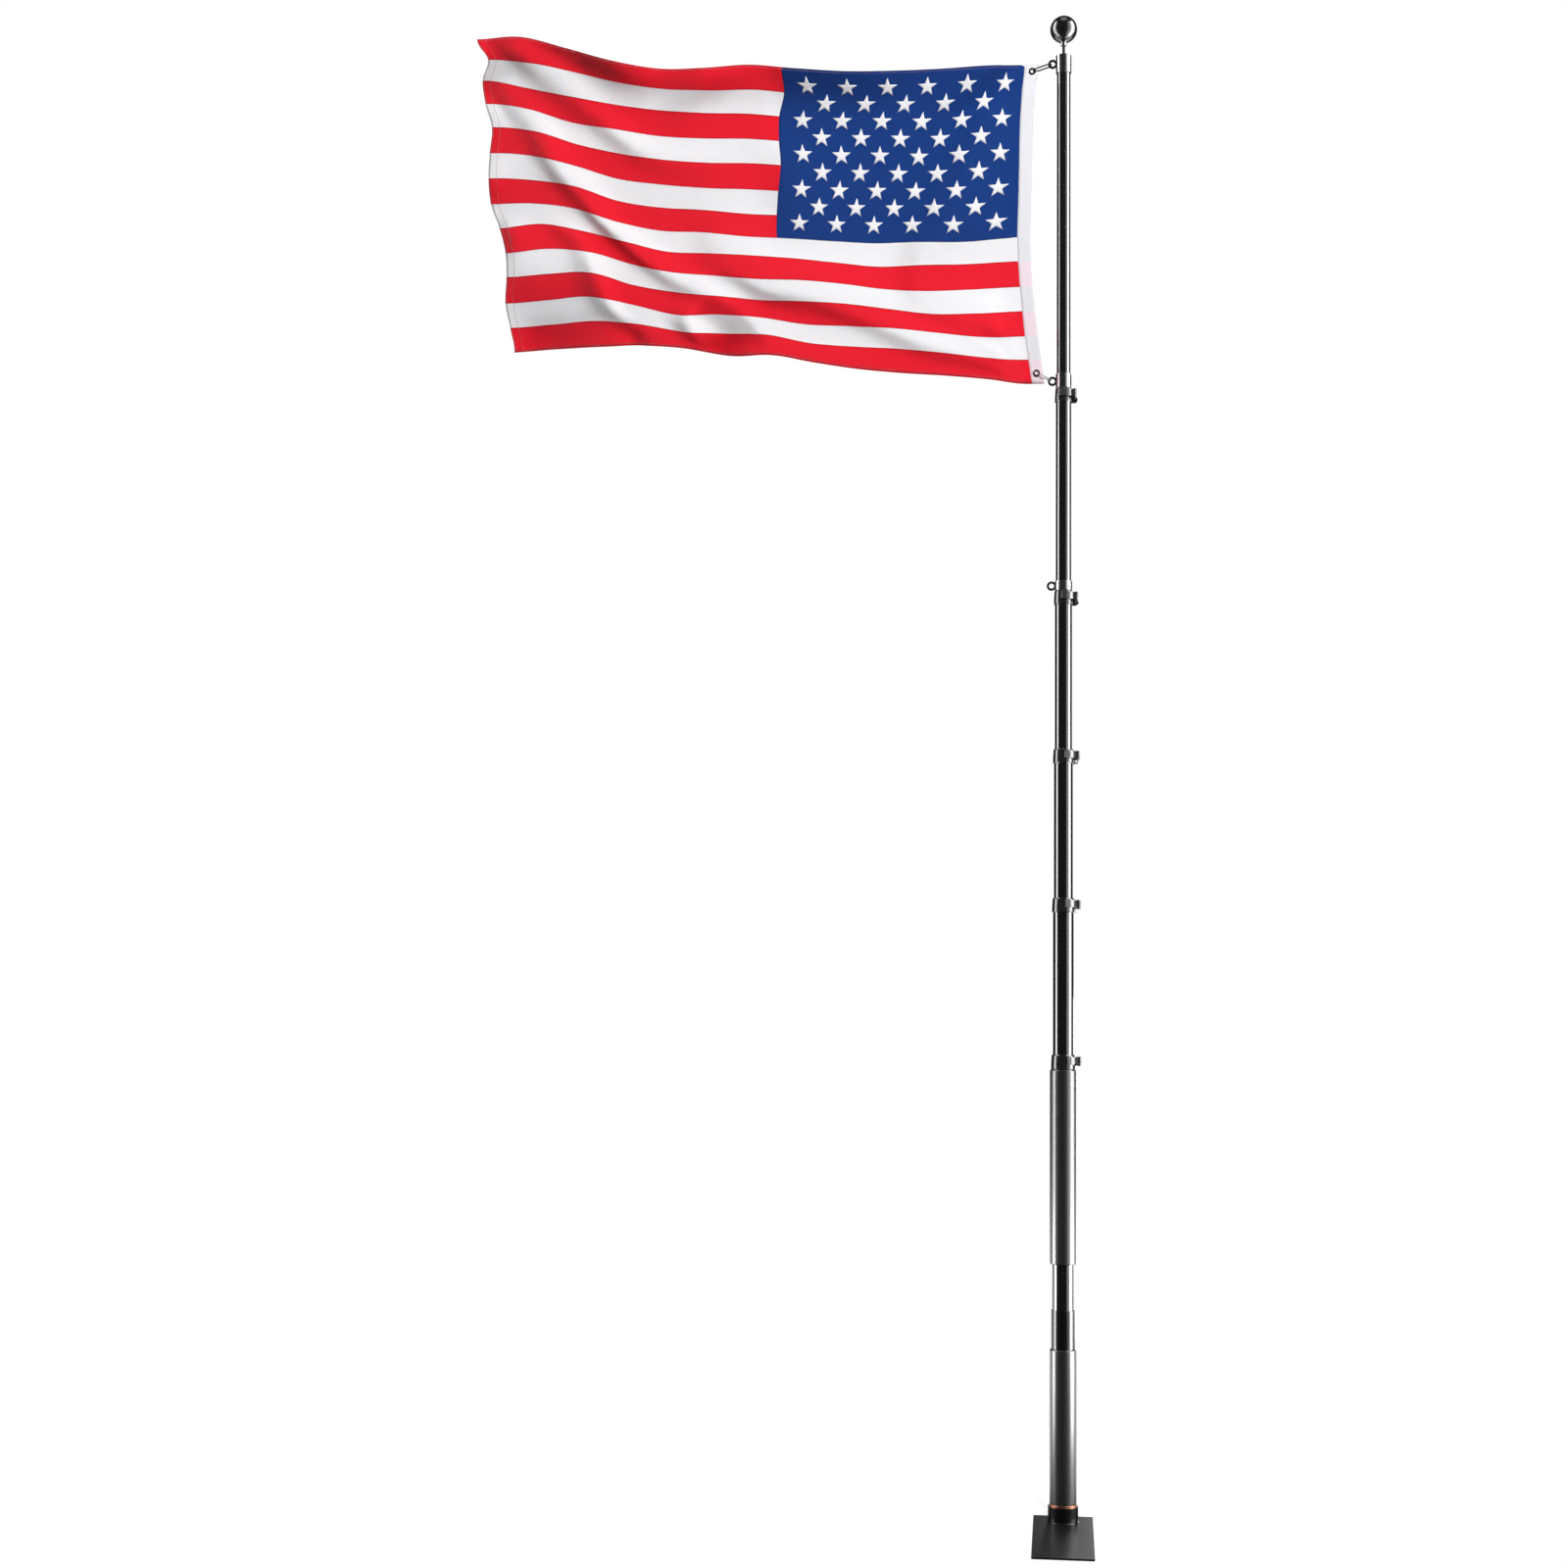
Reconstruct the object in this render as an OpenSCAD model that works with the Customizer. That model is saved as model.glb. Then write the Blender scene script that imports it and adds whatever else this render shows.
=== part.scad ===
// Telescoping flagpole on a ground plate, with flip clamps, swivelling flag rings and a flag.
// Millimetres, +Z up. The origin is on the underside of the plate, on the pole's axis.
// The flag flies towards -X, and the long end of the plate runs towards -Y.

/* [Ground plate] */
// Width of the plate
plate_w = 160; // [120:5:240]
// Length of the plate
plate_l = 485; // [300:5:700]
// Thickness of the plate
plate_t = 5; // [4:0.5:10]
// How far the plate runs past the pole's axis, at the rear
plate_rear = 65; // [50:1:100]
// Radius of the plate's corners
plate_corner = 3; // [1:0.5:20]

/* [Socket] */
// Wall of the socket
socket_wall = 3.5; // [2:0.5:6]
// Height of the socket above the plate
socket_h = 40; // [30:1:80]
// Radius of the weld at the foot of the socket
weld_r = 2.5; // [1:0.5:5]
// Wall of the copper bush that centres the pole in the socket
bush_wall = 6.5; // [4:0.5:12]
// Height of the bush that shows above the socket
bush_rise = 6.5; // [3:0.5:15]
// Depth of the bush inside the socket
bush_depth = 30; // [15:1:35]

/* [Tubes] */
// Outer diameter of the top tube
top_d = 38; // [30:1:50]
// Wall of every tube
tube_wall = 1.8; // [1.2:0.1:2.5]
// Gap all round between one tube and the next
tube_gap = 0.45; // [0.3:0.05:0.8]
// Length of each tube that stays inside the next
tube_overlap = 130; // [80:5:200]
// Height of the lowest clamp's underside
lowest_clamp_z = 1210; // [1000:10:1500]
// From the lowest clamp to the second
reach_5 = 427; // [300:1:600]
// From the second clamp to the third
reach_4 = 410; // [300:1:600]
// From the third clamp to the fourth
reach_3 = 441; // [300:1:600]
// From the fourth clamp to the top one
reach_2 = 570; // [400:1:700]
// From the top clamp to the underside of the truck
reach_1 = 944; // [800:1:1100]

/* [Grips] */
// Wall of the two grip sleeves
grip_wall = 5.8; // [4:0.1:12]
// Top of the lower grip
lower_grip_top = 460; // [300:5:500]
// Length of the upper grip
upper_grip_l = 523; // [300:1:560]
// Wall of the plain band above the lower grip
band_wall = 1.8; // [1.4:0.1:5]
// Length of the plain band
band_l = 104; // [60:1:160]
// Radius of the grips' rounded ends
grip_edge = 3; // [1:0.5:5]

/* [Clamps] */
// Height of a clamp collar
clamp_h = 40; // [36:1:60]
// Wall of a collar outside the tube that it grips
collar_wall = 3; // [2.5:0.5:5]
// How far a tube's end stands inside its collar
tube_seat = 16; // [10:1:25]
// Height of the pinch ears
ear_h = 14; // [12:1:20]
// Thickness of each pinch ear
ear_t = 6.5; // [5:0.5:9]
// Width of the slit between the ears
slit_w = 2.5; // [1.5:0.5:4]
// Angle from the lever's pin to the ears
ear_angle = 33; // [30:1:60]
// Height of the lever's band
lever_h = 20.5; // [14:0.5:22]
// Thickness of the lever's band
lever_t = 5; // [3:0.5:6]
// Angle that the closed lever wraps round the collar
lever_arc = 76; // [50:1:85]
// Radius of the lever's barrel
barrel_r = 5.5; // [4.5:0.5:7]
// Diameter of the lever's pin
pin_d = 4; // [3:0.5:5]
// Diameter of the pinch bolt
bolt_d = 5; // [4:0.5:5]

/* [Top] */
// Height of the truck that carries the top of the flag
truck_h = 51; // [46:1:70]
// Diameter of the stem that carries the ball
stem_d = 8.4; // [6:0.2:12]
// Diameter of the ball
ball_d = 76; // [50:1:100]
// Height of the ball's centre above the top of the truck
ball_rise = 77; // [70:1:110]

/* [Flag rings] */
// Wall of every flag ring
ring_wall = 2.4; // [1.5:0.1:4]
// Height of the lower flag ring
lower_ring_h = 40; // [30:1:50]
// Height of the spare flag ring
spare_ring_h = 26; // [26:1:40]
// Radius of the flag rings' eyes
eye_r = 13; // [12:0.5:13]
// Thickness of the eyes
eye_t = 5; // [3:0.5:8]
// Radius of the hole in each eye
eye_hole_r = 7; // [6:0.5:8]

/* [Flag] */
// Height of the flag at the hoist
flag_h = 918; // [900:1:918]
// Length of the blue and striped cloth along the top
field_l = 1571; // [1400:1:1600]
// Width of the white header
header_w = 34; // [30:1:36]
// Thickness of the cloth and its header
cloth_t = 3; // [3:0.5:4]
// How far the flag's folds swing to each side
fold_depth = 42; // [10:1:60]
// Height of the upper grommet above the truck's underside
grommet_rise = 9.5; // [5:0.5:12]
// Outer radius of a grommet
grommet_r = 10; // [9:0.5:10]
// Radius of the hole in a grommet
grommet_hole_r = 5.5; // [5:0.5:6]

/* [Hidden] */
$fn = 96;

// Clearances: curved faces on one body, curved faces that turn or slide, and a pin in its hole.
fit = 0.2;
run = 0.4;
pin_fit = 0.1;
// Flat faces that rest on each other across a joint.
rest_gap = 0.5;

// The tubes, numbered from the top one down.
LOWEST = 6;
REACH = [0, reach_1, reach_2, reach_3, reach_4, reach_5];
function tube_r(i) = top_d / 2 + (i - 1) * (tube_wall + tube_gap);
function clamp_z(i) = i == LOWEST - 1 ? lowest_clamp_z : clamp_z(i + 1) + REACH[i + 1];
truck_z = clamp_z(1) + reach_1;

// The clamps, each round the end of tube i + 1 and the start of tube i.
CLAMP_TURN = [0, -30, -20, -2, 1, 9];
function collar_r(i) = tube_r(i + 1) + collar_wall;
function collar_top_r(i) = tube_r(i) + collar_wall;
function barrel_x(i) = collar_r(i) + 11;
function ear_x(i) = collar_r(i) + 7.5;
ear_nose_r = ear_h / 2;
lever_z = ear_h + rest_gap;
bracket_t = 4;
lever_clear = 1;
finger_bead = 0.8;
pin_head_t = 0.8;
pin_head_r = 3.6;
bolt_head_r = 3;
bolt_head_t = 1.2;
nut_r = 4.6;
nut_t = 3;

// The truck, an inverted cup on the plugged end of the top tube.
truck_r = tube_r(1) + run + ring_wall;
truck_roof = 10;
plug_t = 2;
plug_depth = 18;
plug_top = truck_z + truck_h - truck_roof - rest_gap;
keeper_t = 4.5;
keeper_r = 5.5;
nut_h = 11;
stem_nut_r = 8.3;
ball_z = truck_z + truck_h + ball_rise;
ball_flat_z = ball_z - sqrt(pow(ball_d / 2, 2) - pow(stem_nut_r + 0.7, 2));
stem_in_ball = 12;

// The flag rings' places. The middle of each eye stands off its ring's wall.
eye_reach = 9;
lower_ring_z = clamp_z(1) + clamp_h + rest_gap;
lower_eye_z = lower_ring_z + 20.5;
spare_ring_z = clamp_z(2) + clamp_h + rest_gap;
spare_eye_z = spare_ring_z + spare_ring_h / 2;
top_eye_z = truck_z + 28;
function ring_r(i) = tube_r(i) + run + ring_wall;

// The flag, from its top edge at t = 0 to its bottom edge at t = 1.
flag_top_z = truck_z + grommet_rise + 19.5;
field_gap = 0.3;
CLOTH_STEPS = [30, 8];
// Rise of each edge of the cloth along its length, as it flies.
TOP_RISE = [[0, 0], [0.3, -6], [0.48, 22], [0.62, 17], [0.7, 40], [0.85, 120], [0.93, 143], [1, 131]];
BOTTOM_RISE = [[0, 0], [0.3, 48], [0.5, 92], [0.63, 97], [0.72, 136], [0.9, 140], [1, 119]];
function field_x(t) = -109 - 95 * t + 110 * t * t;
function flag_z(s, t) = flag_top_z - t * flag_h
    + (1 - t) * lookup(s, TOP_RISE) + t * lookup(s, BOTTOM_RISE);
function fly_x(t) = -109 - field_l + 118 * t + 12 * sin(540 * t);
function fold_y(s, t) = fold_depth * s * sin(640 * s - 150 * t);
function flag_point(s, t) =
    [field_x(t) - field_gap + s * (fly_x(t) - field_x(t)), fold_y(s, t), flag_z(s, t)];

// The grommets in the header, and the hooks that tie them to the eyes.
top_grommet_at = [-88, 0, truck_z + grommet_rise];
lower_grommet_at = [-75, 0, flag_top_z - flag_h + 30];
grommet_lip = 1;
header_hole_r = grommet_hole_r + 1.6;
top_wire_r = 2;
lower_wire_r = 1.25;
top_hook_w = 24;
lower_hook_w = 20;
wire_gap = 0.3;

// A tube with its foot at the origin.
module pipe(r_out, r_in, h) {
    difference() {
        cylinder(r = r_out, h = h);
        translate([0, 0, -1]) cylinder(r = r_in, h = h + 2);
    }
}

// A sleeve with rounded ends.
module sleeve(r_out, r_in, h, edge) {
    rotate_extrude() {
        translate([r_in, 0]) square([r_out - edge - r_in, h]);
        translate([r_in, edge]) square([r_out - r_in, h - 2 * edge]);
        translate([r_out - edge, edge]) circle(r = edge);
        translate([r_out - edge, h - edge]) circle(r = edge);
    }
}

// ---- Ground plate and socket ----

module base_plate() {
    color("#2c2c2e")
    translate([0, plate_rear - plate_l / 2, 0])
    linear_extrude(plate_t) {
        square([plate_w - 2 * plate_corner, plate_l], center = true);
        square([plate_w, plate_l - 2 * plate_corner], center = true);
        for (x = [-1, 1], y = [-1, 1])
            translate([x * (plate_w / 2 - plate_corner), y * (plate_l / 2 - plate_corner)])
                circle(r = plate_corner);
    }
}

bush_r = tube_r(LOWEST) + fit + bush_wall;
socket_in_r = bush_r + fit;
socket_r = socket_in_r + socket_wall;

module socket() {
    color("#161617")
    translate([0, 0, plate_t]) {
        pipe(socket_r, socket_in_r, socket_h);
        rotate_extrude()
            translate([socket_r - 1, 0])
                polygon([[0, 0], [1 + weld_r, 0], [1 + 0.6 * weld_r, 0.6 * weld_r], [1, weld_r], [0, weld_r]]);
    }
}

module socket_bush() {
    bush_h = bush_depth + bush_rise;
    color("#b87350")
    translate([0, 0, plate_t + socket_h - bush_depth])
    sleeve(bush_r, tube_r(LOWEST) + fit, bush_h, 1.5);
}

// ---- Tubes ----

function tube_foot(i) = i == LOWEST ? plate_t : clamp_z(i) + tube_seat - tube_overlap;
function tube_end(i) = i == 1 ? plug_top - plug_t : clamp_z(i - 1) + tube_seat;

module tube(i) {
    color("#1a1a1a")
    translate([0, 0, tube_foot(i)])
    pipe(tube_r(i), tube_r(i) - tube_wall, tube_end(i) - tube_foot(i));
}

// ---- Grips on the lowest tube ----

lower_grip_z = plate_t + socket_h + bush_rise;
sleeve_in_r = tube_r(LOWEST) + fit;

module lower_grip() {
    color("#2a2a2b")
    translate([0, 0, lower_grip_z])
    sleeve(sleeve_in_r + grip_wall, sleeve_in_r, lower_grip_top - lower_grip_z, grip_edge);
}

module grip_band() {
    color("#141414")
    translate([0, 0, lower_grip_top + rest_gap])
    sleeve(sleeve_in_r + band_wall, sleeve_in_r, band_l, 0.6);
}

module upper_grip() {
    color("#2a2a2b")
    translate([0, 0, lowest_clamp_z - rest_gap - upper_grip_l])
    sleeve(sleeve_in_r + grip_wall, sleeve_in_r, upper_grip_l, grip_edge);
}

// ---- Flip clamps ----

module at_clamp(i) {
    translate([0, 0, clamp_z(i)]) rotate([0, 0, CLAMP_TURN[i]]) children();
}

module at_ears(i) {
    rotate([0, 0, ear_angle]) translate([ear_x(i), 0, ear_nose_r]) children();
}

module collar_body(i) {
    rotate_extrude()
    polygon([
        [0, 0], [collar_r(i) - 1.5, 0], [collar_r(i), 2], [collar_r(i) - 0.5, ear_h + 4],
        [collar_top_r(i) + 0.6, clamp_h - 2], [collar_top_r(i) - 0.8, clamp_h], [0, clamp_h]
    ]);
}

module pinch_ears(i) {
    ears_w = slit_w + 2 * ear_t;
    root = ear_x(i) - tube_r(i + 1) - 1;
    rotate([90, 0, 0]) cylinder(r = ear_nose_r, h = ears_w, center = true);
    translate([-root, -ears_w / 2, -ear_nose_r]) cube([root, ears_w, ear_h]);
}

module lever_bracket(i) {
    translate([barrel_x(i), 0, ear_h - bracket_t]) cylinder(r = barrel_r - 0.5, h = bracket_t);
    translate([tube_r(i + 1) + 1, 0.5 - barrel_r, ear_h - bracket_t])
        cube([barrel_x(i) - tube_r(i + 1) - 1, 2 * barrel_r - 1, bracket_t]);
}

module collar(i) {
    color("#151515")
    at_clamp(i)
    difference() {
        union() {
            collar_body(i);
            at_ears(i) pinch_ears(i);
            lever_bracket(i);
        }
        translate([0, 0, -1]) cylinder(r = tube_r(i + 1) + fit, h = tube_seat + 1);
        cylinder(r = tube_r(i) + run, h = clamp_h + 1);
        rotate([0, 0, ear_angle])
            translate([tube_r(i) - 2, -slit_w / 2, -1]) cube([barrel_x(i), slit_w, clamp_h + 2]);
        at_ears(i)
            rotate([90, 0, 0]) cylinder(d = bolt_d + 2 * fit, h = 10 * ear_t, center = true);
        translate([barrel_x(i), 0, 0]) cylinder(d = pin_d + 2 * pin_fit, h = ear_h + 1);
    }
}

module bolt(i) {
    grip_l = slit_w + 2 * ear_t;
    color("#c9cacc")
    at_clamp(i)
    at_ears(i)
    rotate([90, 0, 0]) {
        cylinder(d = bolt_d, h = grip_l, center = true);
        translate([0, 0, grip_l / 2]) cylinder(r = bolt_head_r, h = bolt_head_t);
        translate([0, 0, -grip_l / 2 - nut_t]) cylinder(r = nut_r, h = nut_t, $fn = 6);
    }
}

module pin(i) {
    shaft_h = bracket_t + rest_gap + lever_h;
    color("#8d8f92")
    at_clamp(i)
    translate([barrel_x(i), 0, ear_h - bracket_t]) {
        cylinder(d = pin_d, h = shaft_h);
        translate([0, 0, shaft_h]) cylinder(r = pin_head_r, h = pin_head_t);
    }
}

module lever_outline(i) {
    band_in = collar_r(i) + lever_clear;
    band_out = band_in + lever_t;
    band_mid = (band_in + band_out) / 2;
    far = 2 * band_out;
    difference() {
        union() {
            intersection() {
                difference() {
                    circle(r = band_out);
                    circle(r = band_in);
                }
                polygon([
                    [0, 0], [far, 0], [far * cos(lever_arc / 2), -far * sin(lever_arc / 2)],
                    [far * cos(lever_arc), -far * sin(lever_arc)]
                ]);
            }
            translate([band_mid * cos(lever_arc), -band_mid * sin(lever_arc)])
                circle(d = lever_t + finger_bead);
            translate([barrel_x(i), 0]) circle(r = barrel_r);
            translate([band_in + 0.2, 0.5 - barrel_r])
                square([barrel_x(i) - band_in - 0.2, barrel_r - 0.5]);
        }
        translate([barrel_x(i), 0]) circle(d = pin_d + 2 * pin_fit);
    }
}

module lever(i) {
    color("#1d1d1f")
    at_clamp(i)
    translate([0, 0, lever_z])
    linear_extrude(lever_h - rest_gap) lever_outline(i);
}

// ---- Head of the pole ----

module top_plug() {
    color("#303032")
    translate([0, 0, plug_top - plug_t - plug_depth]) {
        cylinder(r = tube_r(1) - tube_wall - fit, h = plug_depth + plug_t);
        translate([0, 0, plug_depth]) cylinder(r = tube_r(1) - fit, h = plug_t);
    }
}

module stem() {
    color("#101010")
    translate([0, 0, plug_top]) {
        cylinder(d = stem_d, h = ball_flat_z + stem_in_ball - rest_gap - plug_top);
        translate([0, 0, truck_z + truck_h + rest_gap - plug_top]) cylinder(r = keeper_r, h = keeper_t);
    }
}

module stem_nut() {
    color("#d5d6d8")
    translate([0, 0, ball_flat_z - nut_h])
    sleeve(stem_nut_r, stem_d / 2 + fit, nut_h, 1);
}

module ball() {
    color("#0d0d0e")
    difference() {
        translate([0, 0, ball_z]) sphere(d = ball_d);
        translate([-ball_d, -ball_d, ball_flat_z - ball_d]) cube([2 * ball_d, 2 * ball_d, ball_d]);
        translate([0, 0, ball_flat_z - 1]) cylinder(d = stem_d + 2 * fit, h = stem_in_ball + 1);
    }
}

// ---- Flag rings ----

// An eye on a ring of outer radius r, with its middle at height z.
module eye(r, z) {
    translate([-r - eye_reach, 0, z]) rotate([90, 0, 0]) cylinder(r = eye_r, h = eye_t, center = true);
    translate([-r - eye_reach, -eye_t / 2, z - eye_r / 2]) cube([eye_reach + 1, eye_t, eye_r]);
}

module eye_hole(r, z) {
    translate([-r - eye_reach, 0, z])
        rotate([90, 0, 0]) cylinder(r = eye_hole_r, h = 3 * eye_t, center = true);
}

module ring_groove(r, z) {
    translate([0, 0, z])
    rotate_extrude()
    translate([r - 0.8, 0]) square([2, 1.6]);
}

module truck() {
    color("#d5d6d8")
    difference() {
        union() {
            translate([0, 0, truck_z]) sleeve(truck_r, stem_d / 2, truck_h, 1.2);
            eye(truck_r, top_eye_z);
        }
        translate([0, 0, truck_z - 1]) cylinder(r = tube_r(1) + run, h = truck_h - truck_roof + 1);
        cylinder(d = stem_d + 2 * run, h = truck_z + truck_h + 1);
        ring_groove(truck_r, truck_z + 20);
        eye_hole(truck_r, top_eye_z);
    }
}

// A ring that turns on tube i, with an eye. Its children are cut away.
module flag_ring(i, foot_z, h, eye_z) {
    color("#d5d6d8")
    difference() {
        union() {
            translate([0, 0, foot_z]) sleeve(ring_r(i), tube_r(i) - tube_wall, h, 1);
            eye(ring_r(i), eye_z);
        }
        cylinder(r = tube_r(i) + run, h = foot_z + 2 * h);
        eye_hole(ring_r(i), eye_z);
        children();
    }
}

module lower_ring() {
    flag_ring(1, lower_ring_z, lower_ring_h, lower_eye_z)
        ring_groove(ring_r(1), lower_ring_z + 8);
}

module spare_ring() {
    flag_ring(2, spare_ring_z, spare_ring_h, spare_eye_z);
}

// ---- Flag hardware ----

// A closed wire loop that crosses Y = 0 at the points a and b of the XZ plane.
module wire_loop(a, b, wire_r, width) {
    bend_r = width / 2;
    run_l = norm(b - a) - 2 * bend_r;
    tilt = atan2(b[2] - a[2], b[0] - a[0]);
    translate(a)
    rotate([0, -tilt, 0])
    translate([bend_r, 0, 0]) {
        for (side = [-1, 1])
            translate([0, side * bend_r, 0]) rotate([0, 90, 0]) cylinder(r = wire_r, h = run_l);
        rotate([0, 0, 90]) rotate_extrude(angle = 180) translate([bend_r, 0]) circle(r = wire_r);
        translate([run_l, 0, 0]) rotate([0, 0, -90])
            rotate_extrude(angle = 180) translate([bend_r, 0]) circle(r = wire_r);
    }
}

// Where a wire of radius r lies in a hole, pulled towards the point "to".
function seated(centre, to, hole_r, r) =
    centre + (to - centre) / norm(to - centre) * (hole_r - r - wire_gap);

top_eye_at = [-truck_r - eye_reach, 0, top_eye_z];
lower_eye_at = [-ring_r(1) - eye_reach, 0, lower_eye_z];

module top_hook() {
    color("#0f0f10")
    wire_loop(
        seated(top_eye_at, top_grommet_at, eye_hole_r, top_wire_r),
        seated(top_grommet_at, top_eye_at, grommet_hole_r, top_wire_r),
        top_wire_r, top_hook_w
    );
}

module lower_hook() {
    color("#c9cacc")
    wire_loop(
        seated(lower_eye_at, lower_grommet_at, eye_hole_r, lower_wire_r),
        seated(lower_grommet_at, lower_eye_at, grommet_hole_r, lower_wire_r),
        lower_wire_r, lower_hook_w
    );
}

module grommet(at) {
    color("#8a6a45")
    translate(at)
    rotate([90, 0, 0])
    difference() {
        union() {
            cylinder(r = header_hole_r - fit, h = cloth_t + 2 * wire_gap, center = true);
            for (side = [-1, 1])
                translate([0, 0, side * (cloth_t / 2 + wire_gap + grommet_lip / 2)])
                    cylinder(r = grommet_r, h = grommet_lip, center = true);
        }
        cylinder(r = grommet_hole_r, h = 5 * cloth_t, center = true);
    }
}

// ---- Flag ----

module flag_header() {
    steps = [for (k = [0:CLOTH_STEPS[1]]) k / CLOTH_STEPS[1]];
    color("#f1f0f3")
    difference() {
        rotate([90, 0, 0])
        linear_extrude(cloth_t, center = true)
        polygon(concat(
            [for (t = steps) [field_x(t), flag_top_z - t * flag_h]],
            [for (t = steps) [field_x(1 - t) + header_w, flag_top_z - (1 - t) * flag_h]]
        ));
        for (at = [top_grommet_at, lower_grommet_at])
            translate(at) rotate([90, 0, 0]) cylinder(r = header_hole_r, h = 5 * cloth_t, center = true);
    }
}

module flag_cloth() {
    ns = CLOTH_STEPS[0];
    nt = CLOTH_STEPS[1];
    side = (ns + 1) * (nt + 1);
    // Number of the point at step i along and j down, on the front or the back.
    function at(i, j, back) = back * side + i * (nt + 1) + j;
    points = [for (back = [0, 1], i = [0:ns], j = [0:nt])
        flag_point(i / ns, j / nt) + [0, (back - 0.5) * cloth_t, 0]];
    front = [for (i = [0:ns - 1], j = [0:nt - 1])
        each [[at(i, j, 0), at(i + 1, j, 0), at(i + 1, j + 1, 0)],
              [at(i, j, 0), at(i + 1, j + 1, 0), at(i, j + 1, 0)]]];
    rear = [for (i = [0:ns - 1], j = [0:nt - 1])
        each [[at(i, j, 1), at(i + 1, j + 1, 1), at(i + 1, j, 1)],
              [at(i, j, 1), at(i, j + 1, 1), at(i + 1, j + 1, 1)]]];
    long_edges = [for (i = [0:ns - 1], j = [0, nt])
        let (a = at(i, j, 0), b = at(i + 1, j, 0), c = at(i + 1, j, 1), d = at(i, j, 1))
        each j == 0 ? [[a, c, b], [a, d, c]] : [[a, b, c], [a, c, d]]];
    short_edges = [for (j = [0:nt - 1], i = [0, ns])
        let (a = at(i, j, 0), b = at(i, j + 1, 0), c = at(i, j + 1, 1), d = at(i, j, 1))
        each i == 0 ? [[a, b, c], [a, c, d]] : [[a, c, b], [a, d, c]]];
    color("#b3202c")
    polyhedron(points, concat(front, rear, long_edges, short_edges));
}

// ---- The assembly ----

base_plate();
socket();
socket_bush();
lower_grip();
grip_band();
upper_grip();
for (i = [1:LOWEST]) {
    tube(i);
}
for (i = [1:LOWEST - 1]) {
    collar(i);
    bolt(i);
    pin(i);
    lever(i);
}
top_plug();
stem();
stem_nut();
ball();
truck();
top_hook();
flag_cloth();
flag_header();
grommet(top_grommet_at);  // top_grommet
lower_ring();
lower_hook();
grommet(lower_grommet_at);  // lower_grommet
spare_ring();
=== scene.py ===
# A telescoping flagpole on a ground plate, flying its flag: the finishes, the flag and the studio.
import math

import bmesh
import bpy
import numpy as np
from mathutils import Matrix, Vector


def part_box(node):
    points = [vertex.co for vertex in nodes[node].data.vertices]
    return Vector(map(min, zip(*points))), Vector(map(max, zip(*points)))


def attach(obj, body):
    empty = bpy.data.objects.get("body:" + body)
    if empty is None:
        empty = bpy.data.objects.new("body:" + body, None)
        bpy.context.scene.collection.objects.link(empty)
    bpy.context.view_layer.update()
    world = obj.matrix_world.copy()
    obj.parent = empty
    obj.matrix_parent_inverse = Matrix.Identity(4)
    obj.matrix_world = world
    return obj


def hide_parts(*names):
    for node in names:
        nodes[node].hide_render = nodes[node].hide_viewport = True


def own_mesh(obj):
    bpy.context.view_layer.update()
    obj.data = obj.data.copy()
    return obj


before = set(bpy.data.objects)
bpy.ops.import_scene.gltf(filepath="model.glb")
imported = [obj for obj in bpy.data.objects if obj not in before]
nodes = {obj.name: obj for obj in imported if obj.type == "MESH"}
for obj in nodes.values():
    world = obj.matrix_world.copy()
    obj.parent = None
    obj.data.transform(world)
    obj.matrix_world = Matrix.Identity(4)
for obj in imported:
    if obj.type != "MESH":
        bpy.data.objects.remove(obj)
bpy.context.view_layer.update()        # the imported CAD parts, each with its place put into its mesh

scene = bpy.context.scene
scene.view_settings.view_transform = "Standard"


# ---- Camera ----
# A camera at eye height, 6.6 m in front of the pole, turned a little to the flag's side, tilted up and
# leaned a shade, so that the whole pole fills the frame from the ball to the plate.
CAMERA_AT = Vector((0.0, -6.616, 1.443))
CAMERA_TURN = math.radians(6.674)
CAMERA_LIFT = math.radians(4.7)
CAMERA_LEAN = math.radians(0.575)

camera_data = bpy.data.cameras.new("camera")
camera_data.lens = 55
camera_data.sensor_width = 36
camera_data.clip_end = 100
camera = bpy.data.objects.new("camera", camera_data)
scene.collection.objects.link(camera)
camera.matrix_world = (
    Matrix.Translation(CAMERA_AT)
    @ Matrix.Rotation(CAMERA_TURN, 4, "Z")
    @ Matrix.Rotation(math.radians(90) + CAMERA_LIFT, 4, "X")
    @ Matrix.Rotation(CAMERA_LEAN, 4, "Z")
)
scene.camera = camera


# ---- Studio ----
# A white sweep behind the pole and under it, with a soft lamp in front for the flag and another behind
# it. Tall strip lamps, and low ones at the foot, draw the bright lines down the tubes, and a card lights
# the plate. The camera's side of the room is dark.
ROOM_FILL = 0.12
DARK_ROOM = 0.03
SWEEP_SIDES = (0.8, 0.95)
SWEEP_FOOT = (0.25, 0.5)
FLOOR_SIZE = 14.0
PAPER_GREY = 0.45
PAPER_GLOW = 0.78
SHADOW_EDGE = (0.15, 0.75)
MIRRORED_EDGE = (0.0, 0.6)
FLAG_MIDDLE = (-0.8, 0, 3.4)
TUBES_MIDDLE = (0, 0, 3.2)
GRIP_MIDDLE = (0, 0, 0.36)
HEAD = (0, 0, 4)
POLE_FOOT = (0, 0, 0)


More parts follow.
